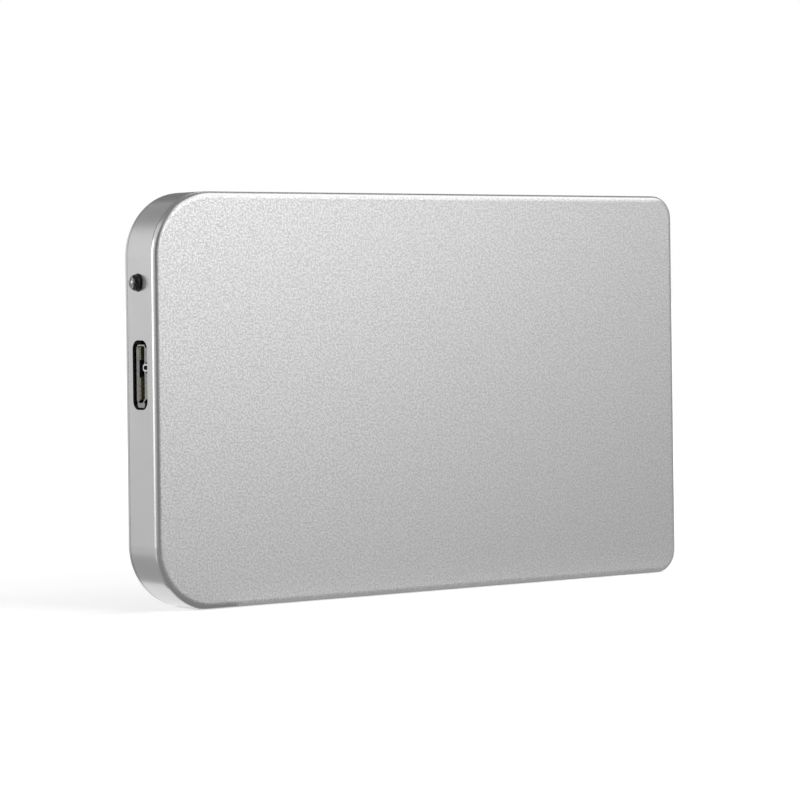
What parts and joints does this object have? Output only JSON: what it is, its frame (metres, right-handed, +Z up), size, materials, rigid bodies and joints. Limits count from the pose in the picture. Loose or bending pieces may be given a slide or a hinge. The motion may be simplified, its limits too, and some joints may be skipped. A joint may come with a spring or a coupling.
{
  "type": "portable solid state drive",
  "caption": "Slim silver aluminium case with a solid state drive and bridge board inside, a dome lamp and a data port in its rounded head end.",
  "frame": {"origin": "middle of the long edge that the case stands on, at half its thickness", "axes": "+X along the case from the port end to the plain end, +Y from the plain face to the back cover, +Z up"},
  "size_m": [0.1268, 0.0106, 0.077],
  "materials": {
    "blasted_aluminium": "fine blasted and clear anodised, satin on the walls",
    "cover_aluminium": "satin anodised",
    "screw_steel": "bright plated",
    "port_steel": "bright tin plated sheet",
    "lead_steel": "tinned wire",
    "crystal_can": "bright can",
    "contact_gold": "thin gold plating",
    "lamp_lens": "smoked glossy lens",
    "port_plastic": "moulded, dull olive",
    "socket_plastic": "moulded black",
    "board_laminate": "green solder mask",
    "chip_epoxy": "moulded dull black",
    "capacitor_ceramic": "tan body with tinned ends",
    "resistor_ceramic": "black glazed body with tinned ends",
    "inductor_ferrite": "grey ferrite",
    "drive_aluminium": "dark grey painted",
    "cushion_foam": "closed-cell foam",
    "thermal_gum": "soft silicone",
    "film_plastic": "thin amber film"
  },
  "bodies": {
    "root": {"front_shell": "blasted_aluminium", "back_cover": "cover_aluminium", "cover_screws": "screw_steel", "insulating_sheet": "film_plastic", "front_cushions": "cushion_foam", "back_cushions": "cushion_foam", "indicator_lamp": "lamp_lens", "lamp_leads": "lead_steel", "bridge_board": "board_laminate", "port_shell": "port_steel", "port_insulator": "port_plastic", "port_contacts": "contact_gold", "drive_socket": "socket_plastic", "socket_contacts": "contact_gold", "bridge_chip": "chip_epoxy", "memory_chip": "chip_epoxy", "clock_crystal": "crystal_can", "power_inductor": "inductor_ferrite", "board_capacitors": "capacitor_ceramic", "board_resistors": "resistor_ceramic", "drive_tray": "drive_aluminium", "drive_lid": "drive_aluminium", "drive_board": "board_laminate", "drive_controller": "chip_epoxy", "drive_cache_chip": "chip_epoxy", "drive_flash_chips": "chip_epoxy", "drive_capacitors": "capacitor_ceramic", "drive_plug": "socket_plastic", "drive_plug_contacts": "contact_gold", "thermal_pad": "thermal_gum"}
  },
  "joints": []
}
